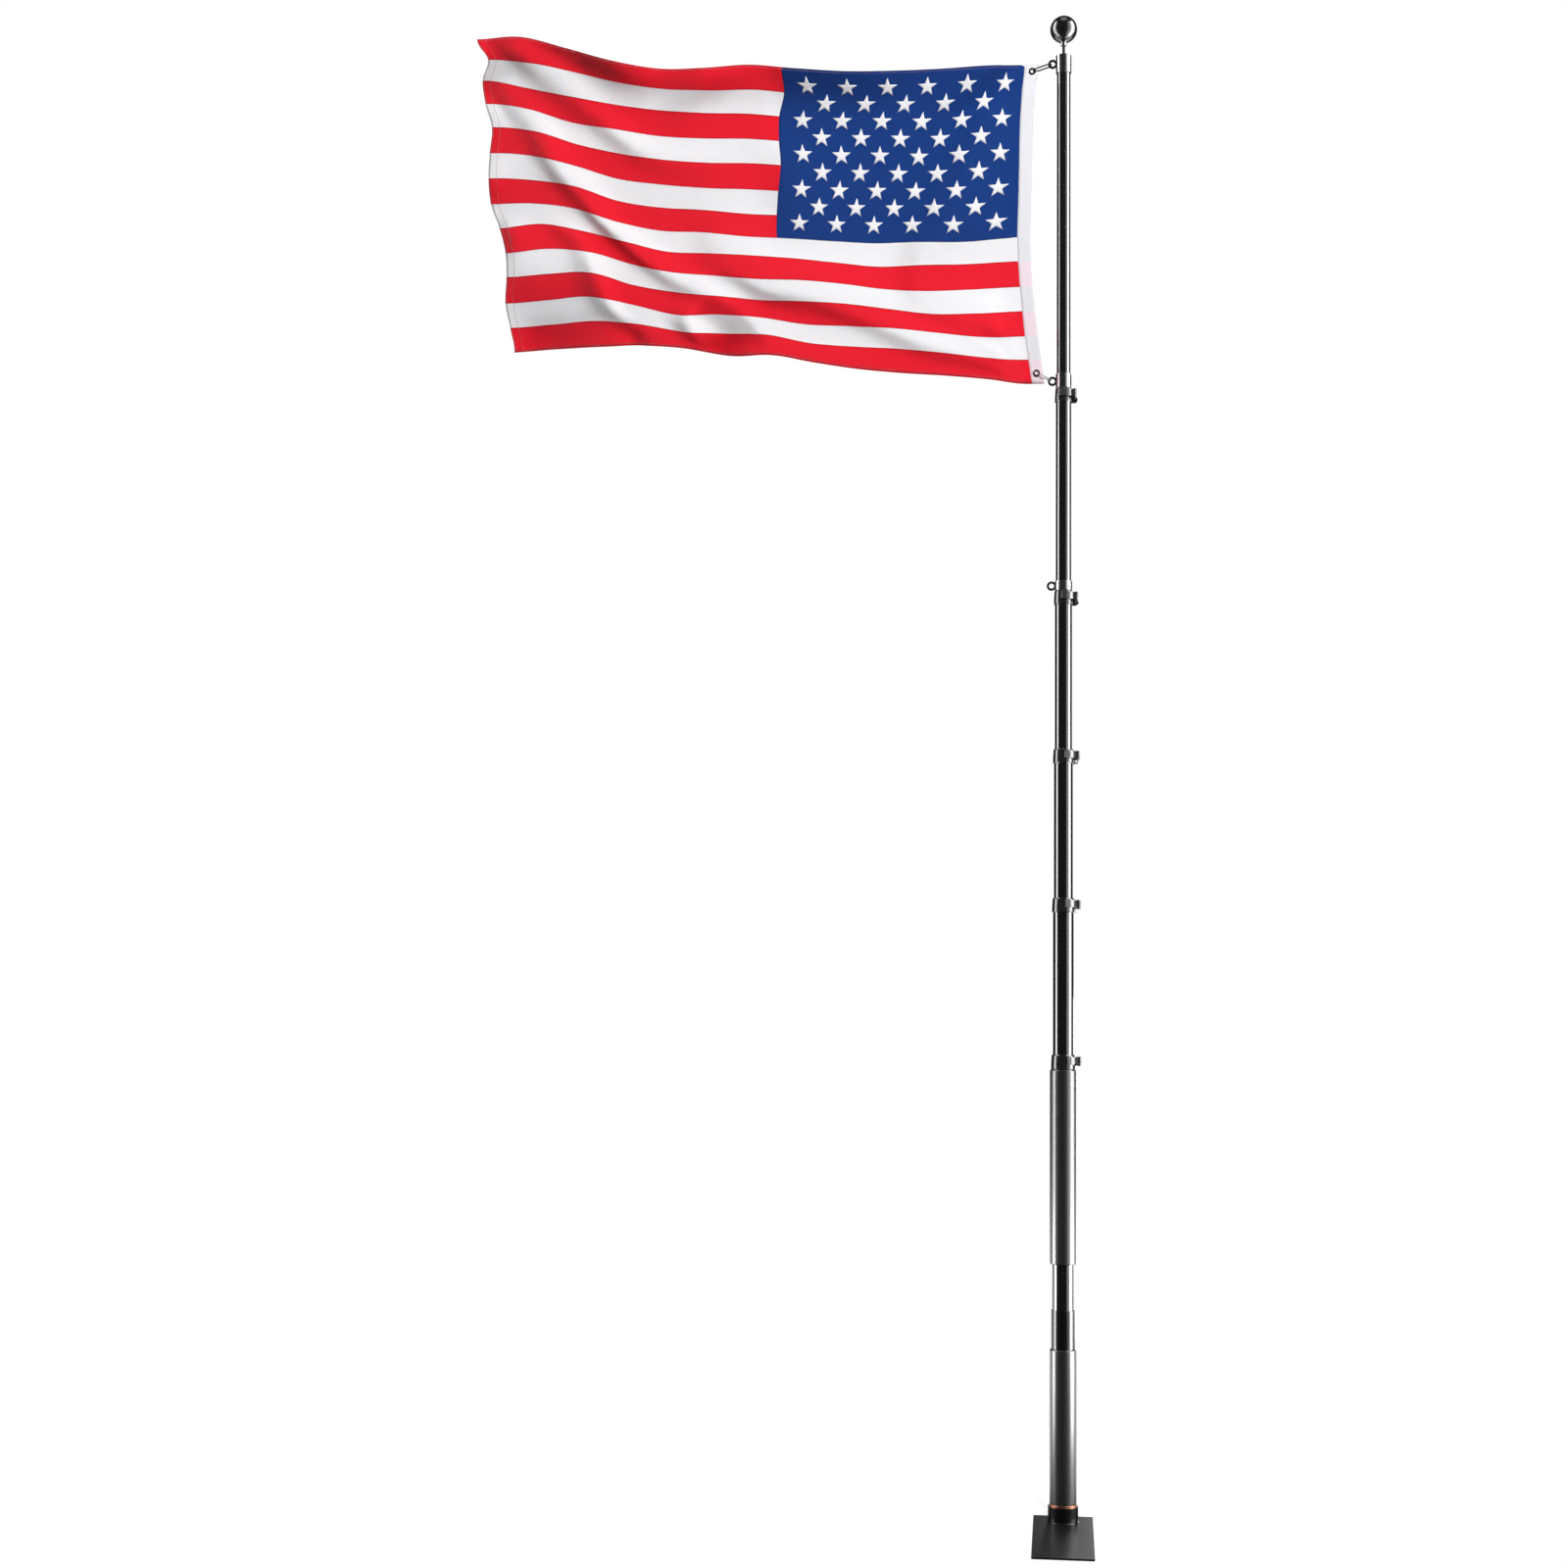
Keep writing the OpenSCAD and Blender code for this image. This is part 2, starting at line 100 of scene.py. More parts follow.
class Shade:
    """A socket of a shader. Arithmetic on it adds Math nodes, and node() adds any other kind."""

    def __init__(self, tree, socket=None):
        self.tree = tree
        self.socket = socket

    def node(self, kind, settings=None, inputs=None, out=0):
        """Adds a node, sets it, then fills its sockets, and gives back one of its outputs."""
        made = self.tree.nodes.new("ShaderNode" + kind)
        for name, value in (settings or {}).items():
            setattr(made, name, value)
        for name, value in (inputs or {}).items():
            if isinstance(value, Shade):
                self.tree.links.new(value.socket, made.inputs[name])
            else:
                made.inputs[name].default_value = value
        return Shade(self.tree, made.outputs[out] if made.outputs else None)

    def maths(self, operation, *values):
        return self.node("Math", {"operation": operation}, dict(enumerate(values)))

    def mix(self, first, second):
        """The first colour where this value is 0 and the second where it is 1."""
        factor, colour_a, colour_b, result = 0, 6, 7, 2
        sockets = {factor: self, colour_a: first, colour_b: second}
        return self.node("Mix", {"data_type": "RGBA"}, sockets, out=result)

    def ramp(self, low, high, to_low=0.0, to_high=1.0):
        """This value, eased from to_low to to_high as it goes from low to high."""
        limits = {"From Min": low, "From Max": high, "To Min": to_low, "To Max": to_high}
        return self.node("MapRange", {"interpolation_type": "SMOOTHSTEP"}, {"Value": self, **limits})

    def __add__(self, other):
        return self.maths("ADD", self, other)

    def __radd__(self, other):
        return self.maths("ADD", other, self)

    def __sub__(self, other):
        return self.maths("SUBTRACT", self, other)

    def __rsub__(self, other):
        return self.maths("SUBTRACT", other, self)

    def __mul__(self, other):
        return self.maths("MULTIPLY", self, other)

    def __rmul__(self, other):
        return self.maths("MULTIPLY", other, self)

    def __gt__(self, other):
        return self.maths("GREATER_THAN", self, other)

    def __lt__(self, other):
        return self.maths("LESS_THAN", self, other)


def light_path(shade):
    """Three values: 1 for a ray from the camera, for one that a gloss reflects, and for one let through."""
    names = ("Is Camera Ray", "Is Glossy Ray", "Is Transmission Ray")
    return [shade.node("LightPath", out=name) for name in names]


def grey(value):
    return (value, value, value, 1.0)


world = bpy.data.worlds.new("studio")
scene.world = world
world.use_nodes = True
world.node_tree.nodes.clear()
sky = Shade(world.node_tree)
from_camera, from_gloss, from_glass = light_path(sky)
direction = sky.node("TexCoord", out="Generated")
towards_back = sky.node("SeparateXYZ", inputs={0: direction}, out="Y")
upwards = sky.node("SeparateXYZ", inputs={0: direction}, out="Z")
sweep = towards_back.ramp(*SWEEP_SIDES) * upwards.ramp(*SWEEP_FOOT)
reflected = (from_gloss + from_glass) * (sweep * (1.0 - DARK_ROOM) + DARK_ROOM)
lit = (1.0 - from_camera - from_gloss - from_glass) * ROOM_FILL
strength = from_camera + reflected + lit
background = sky.node("Background", inputs={"Color": grey(1.0), "Strength": strength})
sky.node("OutputWorld", inputs={"Surface": background})

floor_mesh = bpy.data.meshes.new("floor")
sheet = bmesh.new()
bmesh.ops.create_grid(sheet, x_segments=1, y_segments=1, size=FLOOR_SIZE / 2)
sheet.to_mesh(floor_mesh)
sheet.free()
floor = bpy.data.objects.new("floor", floor_mesh)
scene.collection.objects.link(floor)


def new_material(name):
    """An empty material and the Shade that starts its tree."""
    material = bpy.data.materials.new(name)
    material.use_nodes = True
    material.node_tree.nodes.clear()
    return material, Shade(material.node_tree)


paper, shade = new_material("floor_paper")
from_camera, from_gloss, from_glass = light_path(shade)
place = shade.node("TexCoord", out="Object")
distance = shade.node("VectorMath", {"operation": "LENGTH"}, {0: place}, out="Value")
lit_paper = shade.node("BsdfDiffuse", inputs={"Color": grey(PAPER_GREY)})
glow = shade.node("Emission", inputs={"Strength": PAPER_GLOW})
under_pole = shade.node("AddShader", inputs={0: lit_paper, 1: glow})
plain_white = shade.node("Emission", inputs={"Strength": from_camera})
seen = shade.node("MixShader", inputs={0: distance.ramp(*SHADOW_EDGE), 1: under_pole, 2: plain_white})
behind = shade.node("SeparateXYZ", inputs={0: place}, out="Y").ramp(*MIRRORED_EDGE, DARK_ROOM, 1.0)
mirrored = shade.node("Emission", inputs={"Strength": behind})
either = shade.node("MixShader", inputs={0: from_gloss + from_glass, 1: seen, 2: mirrored})
shade.node("OutputMaterial", inputs={"Surface": either})
floor_mesh.materials.append(paper)


def panel(name, place, width, height, glow, aim, diffuse=True, gloss=True):
    """A rectangular lamp of that radiance at a place, facing the point aim."""
    lamp = bpy.data.lights.new(name, "AREA")
    lamp.shape = "RECTANGLE"
    lamp.size = width
    lamp.size_y = height
    lamp.energy = glow * math.pi * width * height
    made = bpy.data.objects.new(name, lamp)
    scene.collection.objects.link(made)
    towards = Vector(aim) - Vector(place)
    made.matrix_world = Matrix.Translation(place) @ towards.to_track_quat("-Z", "Y").to_matrix().to_4x4()
    made.visible_camera = False
    made.visible_diffuse = diffuse
    made.visible_glossy = gloss


panel("key", (1.0, -4.2, 5.6), 1.3, 1.3, 56.0, FLAG_MIDDLE, gloss=False)
panel("back_fill", (-1.6, 4.6, 5.0), 1.3, 1.3, 34.0, FLAG_MIDDLE, gloss=False)
panel("strip_right", (2.5, -0.25, 3.2), 1.5, 7.6, 8.0, TUBES_MIDDLE, diffuse=False)
panel("strip_right_tail", (2.1, -1.7, 3.2), 1.2, 7.6, 1.1, TUBES_MIDDLE, diffuse=False)
panel("strip_left", (-2.5, -0.25, 3.2), 1.0, 7.6, 5.4, TUBES_MIDDLE, diffuse=False)
panel("foot_right", (1.25, -0.125, 0.36), 0.75, 0.7, 9.0, GRIP_MIDDLE, diffuse=False)
panel("foot_left", (-1.25, -0.1, 0.36), 0.5, 0.7, 6.0, GRIP_MIDDLE, diffuse=False)
panel("ceiling", (0.0, -0.6, 7.2), 1.6, 1.6, 1.0, HEAD, diffuse=False)
panel("card_right", (0.81, 3.0, 0.7), 1.4, 1.4, 3.0, POLE_FOOT, diffuse=False)


# ---- Ground plate ----
# A flat steel plate, cut square, blasted and powder coated in charcoal satin. A vehicle's wheel stands on
# its long end. The coating has a fine orange peel and a slightly uneven tone.
PATCHES = 9.0
PATCH_TONES = (0.88, 1.12)
NOISE_MIDDLE = (0.3, 0.7)
GRAIN_GLOSS = 0.08
LACQUER_IOR = 2.0


def toned(colour, share=1.0):
    """That share of a colour, with the alpha that a socket wants."""
    return (*[c * share for c in colour], 1.0)


def satin_coat(name, colour, *, roughness, grain, depth, specular=0.5, coat=0.0, coat_rough=0.1, drawn=1.0):
    """Paint or moulded plastic with a fine grain, which may be drawn out along Z."""
    material, shade = new_material(name)
    place = shade.node("TexCoord", out="Object")
    lines = shade.node("Mapping", inputs={"Vector": place, "Scale": (1.0, 1.0, 1.0 / drawn)})
    fine = shade.node("TexNoise", inputs={"Vector": lines, "Scale": grain, "Detail": 3.0})
    broad = shade.node("TexNoise", inputs={"Vector": place, "Scale": PATCHES, "Detail": 2.0})
    tone = broad.ramp(*NOISE_MIDDLE).mix(*[toned(colour, share) for share in PATCH_TONES])
    bumped = shade.node("Bump", inputs={"Strength": 1.0, "Distance": depth, "Height": fine}, out="Normal")
    surface = shade.node("BsdfPrincipled", inputs={
        "Base Color": tone,
        "Roughness": fine * GRAIN_GLOSS + (roughness - GRAIN_GLOSS / 2),
        "Specular IOR Level": specular,
        "Coat Weight": coat,
        "Coat Roughness": coat_rough,
        "Coat IOR": LACQUER_IOR,
        "Normal": bumped,
    })
    shade.node("OutputMaterial", inputs={"Surface": surface})
    return material


def finish_with(material, *names):
    """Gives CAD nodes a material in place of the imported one."""
    for name in names:
        slots = nodes[name].data.materials
        slots.clear()
        slots.append(material)


plate_coat = satin_coat(
    "plate_coat", (0.016, 0.016, 0.017), roughness=0.36, grain=900.0, depth=0.00002, specular=0.07)
finish_with(plate_coat, "base_plate")


# ---- Socket and bush ----
# A short steel pipe, welded round its foot to the plate and painted black, takes the foot of the pole.
# The turned copper bush in its mouth centres the lowest tube.
TURNING = (8.0, 8.0, 300.0)
TURNED_DARK = 0.93
STREAK_GLOSS = 0.1

socket_paint = satin_coat(
    "socket_paint", (0.004, 0.004, 0.005),
    roughness=0.3, grain=400.0, depth=0.00002, specular=0.3, coat=0.2)
finish_with(socket_paint, "socket")


def metal(name, colour, *, roughness, depth):
    """Bare metal with fine turning lines round Z, which spread its gloss."""
    material, shade = new_material(name)
    place = shade.node("TexCoord", out="Object")
    lines = shade.node("Mapping", inputs={"Vector": place, "Scale": TURNING})
    streak = shade.node("TexNoise", inputs={"Vector": lines, "Scale": 1.0, "Detail": 4.0})
    tone = streak.ramp(*NOISE_MIDDLE).mix(toned(colour, TURNED_DARK), toned(colour))
    bumped = shade.node("Bump", inputs={"Strength": 1.0, "Distance": depth, "Height": streak}, out="Normal")
    surface = shade.node("BsdfPrincipled", inputs={
        "Base Color": tone,
        "Metallic": 1.0,
        "Roughness": streak * STREAK_GLOSS + (roughness - STREAK_GLOSS / 2),
        "Normal": bumped,
    })
    shade.node("OutputMaterial", inputs={"Surface": surface})
    return material


turned_copper = metal("turned_copper", (0.46, 0.21, 0.13), roughness=0.4, depth=0.000005)
finish_with(turned_copper, "socket_bush")


# ---- Tubes ----
# Six drawn aluminium tubes that telescope into each other, the widest at the foot. Each is anodised and
# lacquered in deep gloss black, over faint draw lines. A moulded plastic plug closes the top one.
TUBES = 6

tube_lacquer = satin_coat(
    "tube_lacquer", (0.005, 0.005, 0.0055),
    roughness=0.16, grain=300.0, depth=0.000002, coat=1.0, coat_rough=0.09, drawn=40.0)
finish_with(tube_lacquer, *[f"tube_{i}" for i in range(1, TUBES + 1)])
plug_plastic = satin_coat("plug_plastic", (0.03, 0.03, 0.03), roughness=0.4, grain=500.0, depth=0.0001)
finish_with(plug_plastic, "top_plug")


# ---- Grips ----
# Two sleeves of dense foam rubber, pushed over the lowest tube, to lift and carry the pole by. A plain
# band of hard plastic lies between them, against the lower one.
grip_rubber = satin_coat(
    "grip_rubber", (0.012, 0.012, 0.012),
    roughness=0.44, grain=1400.0, depth=0.0001, specular=0.6, coat=1.0, coat_rough=0.24)
finish_with(grip_rubber, "lower_grip", "upper_grip")
band_plastic = satin_coat(
    "band_plastic", (0.003, 0.003, 0.003),
    roughness=0.3, grain=700.0, depth=0.00002, specular=0.3, coat=0.4, coat_rough=0.12)
finish_with(band_plastic, "grip_band")


# ---- Clamps ----
# Five collars moulded in hard black plastic, one on the mouth of each wider tube and split at the side.
# A steel bolt pinches each collar shut, and a moulded lever on a steel pin flips to free it.
clamp_plastic = satin_coat(
    "clamp_plastic", (0.014, 0.014, 0.015),
    roughness=0.26, grain=600.0, depth=0.00002, specular=0.6, coat=0.6)
lever_plastic = satin_coat(
    "lever_plastic", (0.035, 0.035, 0.037),
    roughness=0.34, grain=600.0, depth=0.00002, specular=0.6, coat=0.6)
bright_steel = metal("polished_steel", (0.46, 0.465, 0.475), roughness=0.24, depth=0.000003)
pin_steel = metal("pin_steel", (0.5, 0.51, 0.52), roughness=0.28, depth=0.000005)
for i in range(1, TUBES):
    finish_with(clamp_plastic, f"collar_{i}")
    finish_with(lever_plastic, f"lever_{i}")
    finish_with(bright_steel, f"bolt_{i}")
    finish_with(pin_steel, f"pin_{i}")


# ---- Head of the pole ----
# A steel stem painted black stands in the plug of the top tube, and a bright steel nut on it carries
# the ball, which is lacquered in gloss black.
ball_lacquer = satin_coat(
    "ball_lacquer", (0.004, 0.004, 0.0045),
    roughness=0.25, grain=120.0, depth=0.000003, coat=1.0, coat_rough=0.2)
finish_with(ball_lacquer, "ball")
stem_paint = satin_coat("stem_paint", (0.006, 0.006, 0.006), roughness=0.2, grain=500.0, depth=0.00001)
finish_with(stem_paint, "stem")
finish_with(bright_steel, "stem_nut")


# ---- Flag rings and hooks ----
# A steel cup on the top of the pole, a ring for the flag's lower corner and a spare one further down, all
# polished, turn round the tubes. Wire hooks, the upper one painted black and the lower one bright, tie
# the eyes of the cup and the first ring to brass grommets pressed into the flag's header.
finish_with(bright_steel, "truck", "lower_ring", "spare_ring")
hook_paint = satin_coat(
    "hook_paint", (0.006, 0.006, 0.006), roughness=0.5, grain=500.0, depth=0.00001, specular=0.2)
finish_with(hook_paint, "top_hook")
hook_wire = metal("hook_wire", (0.6, 0.6, 0.62), roughness=0.25, depth=0.000003)
finish_with(hook_wire, "lower_hook")
aged_brass = metal("aged_brass", (0.26, 0.15, 0.09), roughness=0.35, depth=0.000005)
finish_with(aged_brass, "top_grommet", "lower_grommet")


# ---- Flag ----
# Strips of nylon sewn edge to edge, with a blue canton set in at the hoist, all cut flat. The pieces are
# laid out flat, s along from the hoist and t down from the top, in metres, and then flown to where the
# wind holds the cloth.
FLAG_HEIGHT = 0.918
FIELD_LENGTH = 1.566
HEADER_WIDTH = 0.034
CANTON_LENGTH = 0.69
STRIPES = 13
CANTON_STRIPES = 7
CLOTH_THICK = 0.0008
CORNER_RADIUS = 0.015
COLUMNS = 235
ROWS_IN_STRIPE = 7
RED, WHITE, BLUE = range(3)
canton_height = FLAG_HEIGHT * CANTON_STRIPES / STRIPES

# The hoist's and the fly edge's place from the pole's axis at each stripe's edge, top to bottom, in mm.
HOIST_EDGE = (-106, -114, -119, -121, -122, -123, -125, -127, -124, -119, -112, -105, -95, -85)
FLY_EDGE = (
    -1692, -1660, -1678, -1668, -1646, -1651, -1651, -1644, -1616, -1596, -1591, -1593, -1578, -1565)

# How far the cloth hangs above its flat place, in mm: a row for each eighth of its height from the top, and
# a value for each twelfth of its length from the hoist. A fitting program made these values.
LIFT = (
    (0, 0, -4, -6, -3, 10, 26, 20, 24, 50, 93, 132, 131),
    (-5, -4, -7, -3, 2, 10, 25, 31, 43, 64, 94, 122, 148),
    (-6, -6, -11, -4, 1, 10, 23, 28, 39, 63, 88, 133, 152),
    (-6, -11, -13, -8, -3, 6, 17, 24, 38, 58, 99, 134, 146),
    (-4, -13, -10, -9, -2, 7, 15, 32, 41, 67, 113, 131, 137),
    (-3, -7, -6, -8, 7, 23, 35, 44, 52, 85, 118, 142, 132),
    (-5, -8, -8, 8, 27, 38, 42, 57, 72, 95, 136, 137, 130),
    (-4, 1, 19, 34, 40, 48, 74, 84, 86, 117, 139, 130, 123),
    (0, 18, 31, 41, 55, 76, 100, 97, 124, 134, 132, 126, 120),
)

# The folds, in mm. Each is a crest that runs along or down the cloth, with the widths of its steep and its
# gentle side, and points (place on its way, place across it, height towards the front). They were picked
# one by one, most were then moved by a fitting program, and a few were changed after that.
FOLDS = (
    ("along", 38, 64, (
        (735, 912, 0), (827, 772, 8), (1056, 649, 23), (1166, 574, 31),
        (1286, 447, 30), (1380, 353, 34), (1477, 250, 10), (1560, 182, -18))),
    ("along", 38, 50, (
        (800, 270, 0), (950, 290, 10), (1090, 271, 15), (1168, 231, 21),
        (1255, 168, 19), (1388, 91, 21), (1480, 52, 31), (1560, 31, 7))),
    ("along", 105, 100, (
        (860, -17, 0), (960, -16, 14), (1060, -16, 48), (1160, -25, 80), (1300, -59, 62),
        (1450, -41, 28))),
    ("along", 44, 160, (
        (0, 849, 0), (120, 842, 14), (261, 830, 19), (376, 792, 24), (487, 739, 23),
        (609, 694, 29), (742, 665, 31), (867, 610, 25), (980, 594, 0))),
    ("down", 48, 130, (
        (60, 52, 0), (150, 90, 24), (220, 120, 30), (303, 159, 33), (431, 213, 36), (560, 273, 24),
        (640, 288, 16), (700, 220, 10), (750, 63, 12), (800, 7, 20))),
    ("down", 48, 34, ((520, 1368, 0), (608, 1326, 24), (687, 1298, 31), (800, 1251, 23), (918, 1192, -21))),
    ("down", 42, 28, ((700, 983, 0), (790, 1011, 32), (860, 1005, 20), (930, 1003, 0))),
    ("along", 92, 80, (
        (20, -27, 0), (200, -77, 30), (450, -31, 55), (600, -35, 64), (736, -18, 48), (900, -25, 0),
        (1000, -21, 0))),
    ("along", 36, 90, ((20, -49, 25), (100, 4, 24), (200, 74, 13), (300, 76, 0))),
    ("down", 95, 204, ((600, 1521, 0), (700, 1488, 20), (800, 1483, -10), (930, 1497, -64))),
    ("down", 30, 46, ((330, 1536, 0), (420, 1561, 18), (500, 1566, 0))),
    ("down", 27, 60, ((520, 1521, 0), (580, 1529, 22), (680, 1543, 0))),
    ("along", 76, 102, ((600, 133, -1), (750, 7, -6), (900, 9, 57), (1060, 87, 0))),
    ("down", 64, 67, ((600, 982, 0), (750, 938, 10), (850, 908, -32), (930, 934, -64))),
    ("down", 41, 47, ((0, 1528, -20), (100, 1474, -11), (220, 1565, 0))),
    ("down", 75, 119, ((150, 673, 0), (300, 663, 16), (420, 624, 15), (550, 661, 0))),
)

# The stretch of a crest that its turn is measured over, in metres, and the sharpest turn that counts.
FOLD_STEP = 0.01
STEEPEST = 2

# The even slope and the hollow of the whole cloth under its folds, which the program fitted too, and the
# direction that folds stand out.
BELLY = (0.042, 0.227)
STAND = Vector((0.136, -1.0, -0.327))

# How far the cloth is drawn towards the pole, in mm, at its top, the canton's foot and its own foot, and
# the share of that at four places along it.
LEAN = (5, -12, 0)
LEAN_PLACES = (0, 0.06, CANTON_LENGTH, FIELD_LENGTH)
LEAN_SHARES = (0, 0.8, 1, 0)

# Small creases fan out over the cloth from a point in the header at each end of the hoist.
TUG = 0.0035
TUG_CREASES = 16
TUG_CENTRE = 0.01
TUG_RISE = 0.08
TUG_FADE = 0.09

# Every fold dies away over this stretch beside the header, which keeps the hoist straight.
HELD_STRETCH = 0.1
top_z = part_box("flag_header")[1].z


def curve_through(places, values, x):
    """The smooth curve through the values at these places, level at both ends, at each of the array x."""
    values = np.asarray(values, float)
    slopes = np.gradient(values, places, axis=0)
    slopes[[0, -1]] = 0
    at = np.clip(np.searchsorted(places, x) - 1, 0, len(places) - 2)
    width = np.diff(places)[at]
    f = np.clip((x - np.asarray(places)[at]) / width, 0, 1)

    def at_station(table, station):
        return table[station] if table.ndim == 1 else np.take_along_axis(table, station[None], 0)[0]

    return (
        at_station(values, at) * (2 * f**3 - 3 * f**2 + 1)
        + at_station(values, at + 1) * (3 * f**2 - 2 * f**3)
        + at_station(slopes, at) * width * (f**3 - 2 * f**2 + f)
        + at_station(slopes, at + 1) * width * (f**3 - f**2)
    )


def stand_out(s, t):
    """How far the folds bring the cloth towards the front, in metres."""
    v = t / FLAG_HEIGHT
    total = BELLY[0] * t + BELLY[1] * FLAG_HEIGHT * (v * v - v) / 2
    for way, steep, gentle, crest in FOLDS:
        along, across = (s, t) if way == "along" else (t, s)
        stations, places, heights = np.array(crest).T / 1000
        place = curve_through(stations, places, along)
        turn = (curve_through(stations, places, along + FOLD_STEP) - place) / FOLD_STEP
        gap = (across - place) / np.hypot(1, np.clip(turn, -STEEPEST, STEEPEST))
        width = np.where(gap > 0, steep, gentle) / 1000
        total = total + curve_through(stations, heights, along) * np.exp(-((gap / width) ** 2))
    for corner in (0, FLAG_HEIGHT):
        reach = np.hypot(s + TUG_CENTRE, t - corner)
        angle = np.arctan2(t - corner, s + TUG_CENTRE)
        total = total + TUG * np.sin(TUG_CREASES * angle) * reach / TUG_RISE * np.exp(-reach / TUG_FADE)
    held = np.clip(s / HELD_STRETCH, 0, 1)
    return total * held * held * (3 - 2 * held)


def flown(s, t):
    """Where the wind holds the points s from the hoist and t below the top edge, as rows of x, y, z."""
    u = s / FIELD_LENGTH
    v = t / FLAG_HEIGHT
    edges = np.linspace(0, 1, STRIPES + 1)
    hoist = np.interp(v, edges, HOIST_EDGE) / 1000
    fly = curve_through(edges, FLY_EDGE, v) / 1000
    twelfths = np.linspace(0, 1, len(LIFT[0]))
    eighths = np.linspace(0, 1, len(LIFT))
    lifts = np.array([curve_through(twelfths, row, u) for row in LIFT]) / 1000
    height = top_z - t + curve_through(eighths, lifts, v)
    lean = curve_through((0, canton_height, FLAG_HEIGHT), LEAN, t) / 1000
    lean = lean * curve_through(LEAN_PLACES, LEAN_SHARES, s)
    level = np.stack((hoist + u * (fly - hoist) + lean, 0 * u, height), 1)
    return level + stand_out(s, t)[:, None] * np.array(STAND)


def fly_points(made):
    """Moves a flat piece's points, (s, off the cloth, t), to where the flag flies."""
    s, off, t = np.array([vert.co for vert in made.verts]).T
    step = 0.001
    along = flown(s + step, t) - flown(s - step, t)
    down = flown(s, t + step) - flown(s, t - step)
    normal = np.cross(along, down)
    normal /= np.linalg.norm(normal, axis=1)[:, None]
    for vert, place in zip(made.verts, flown(s, t) + off[:, None] * normal):
        vert.co = place


def flat_grid(made, s_low, s_high, t_low, t_high, columns, rows, paint=0):
    """Adds a flat rectangle of cloth to a bmesh, facing the front, in columns by rows."""
    lay = (
        Matrix.Translation(((s_low + s_high) / 2, 0, (t_low + t_high) / 2))
        @ Matrix.Diagonal((s_high - s_low, 1, t_high - t_low, 1))
        @ Matrix.Rotation(math.radians(-90), 4, "X")
    )
    added = bmesh.ops.create_grid(made, x_segments=columns, y_segments=rows, size=0.5, matrix=lay)
    for face in {face for vert in added["verts"] for face in vert.link_faces}:
        face.material_index = paint


def map_flat(made):
    """Keeps each point's flat place, in metres, as the piece's UV map."""
    flat = made.loops.layers.uv.new("flat")
    for face in made.faces:
        for loop in face.loops:
            loop[flat].uv = (loop.vert.co.x, loop.vert.co.z)


THREADS = 1400.0
CRUMPLES = 26.0
CRUMPLE_DEPTH = 0.0012
DYE_PATCHES = 300.0
DYE_PALE = 0.96


def nylon(name, colour, weave_depth=0.00012):
    """Woven nylon: a fine plain weave, soft gloss, and a slightly uneven dye."""
    material, shade = new_material(name)
    flat = shade.node("UVMap", {"uv_map": "flat"})
    threads = shade.node("Mapping", inputs={"Vector": flat, "Scale": (THREADS, THREADS, 1.0)})
    warp = shade.node("TexWave", {"bands_direction": "X"}, {"Vector": threads, "Scale": 0.5}, out=1)
    weft = shade.node("TexWave", {"bands_direction": "Y"}, {"Vector": threads, "Scale": 0.5}, out=1)
    crease = shade.node("TexNoise", inputs={"Vector": flat, "Scale": CRUMPLES, "Detail": 3.0})
    dye = shade.node("TexNoise", inputs={"Vector": flat, "Scale": DYE_PATCHES, "Detail": 2.0})
    tone = dye.ramp(*NOISE_MIDDLE).mix(toned(colour, DYE_PALE), toned(colour))
    weave = shade.node("Bump", inputs={
        "Strength": 1.0, "Distance": weave_depth, "Height": warp + weft}, out="Normal")
    crumpled = shade.node("Bump", inputs={
        "Strength": 1.0, "Distance": CRUMPLE_DEPTH, "Height": crease, "Normal": weave}, out="Normal")
    surface = shade.node("BsdfPrincipled", inputs={
        "Base Color": tone,
        "Roughness": dye * 0.1 + 0.5,
        "Specular IOR Level": 0.04,
        "Normal": crumpled,
    })
    shade.node("OutputMaterial", inputs={"Surface": surface})
    return material


def sewn_piece(made, name, thick, slot, *materials):
    """Turns a flown bmesh into a piece of that thickness that rides with the top ring."""
    mesh = bpy.data.meshes.new(name)
    made.to_mesh(mesh)
    made.free()
    for face in mesh.polygons:
        face.use_smooth = True
    for material in materials:
        mesh.materials.append(material)
    piece = bpy.data.objects.new(name, mesh)
    scene.collection.objects.link(piece)
    body = piece.modifiers.new("thickness", "SOLIDIFY")
    body.thickness = thick
    body.offset = 0
    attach(piece, "top_ring")
    return piece


red_nylon = nylon("red_nylon", (0.84, 0.014, 0.03))
white_nylon = nylon("white_nylon", (0.89, 0.88, 0.905))
blue_nylon = nylon("blue_nylon", (0.011, 0.045, 0.215))

cloth = bmesh.new()
flat_grid(cloth, 0, FIELD_LENGTH, 0, FLAG_HEIGHT, COLUMNS, STRIPES * ROWS_IN_STRIPE)
for face in cloth.faces:
    middle = face.calc_center_median()
    stripe = int(middle.z / FLAG_HEIGHT * STRIPES)
    in_canton = middle.x < CANTON_LENGTH and stripe < CANTON_STRIPES
    face.material_index = BLUE if in_canton else (RED, WHITE)[stripe % 2]
bend = Vector((CORNER_RADIUS, 0, CORNER_RADIUS))
for vert in cloth.verts:
    outwards = vert.co - bend
    if max(outwards.x, outwards.z) < 0 and outwards.length > CORNER_RADIUS:
        vert.co = bend + outwards.normalized() * CORNER_RADIUS
map_flat(cloth)
fly_points(cloth)
flag = sewn_piece(cloth, "flag_field", CLOTH_THICK, "flag_fabric", red_nylon, white_nylon, blue_nylon)
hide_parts("flag_cloth")


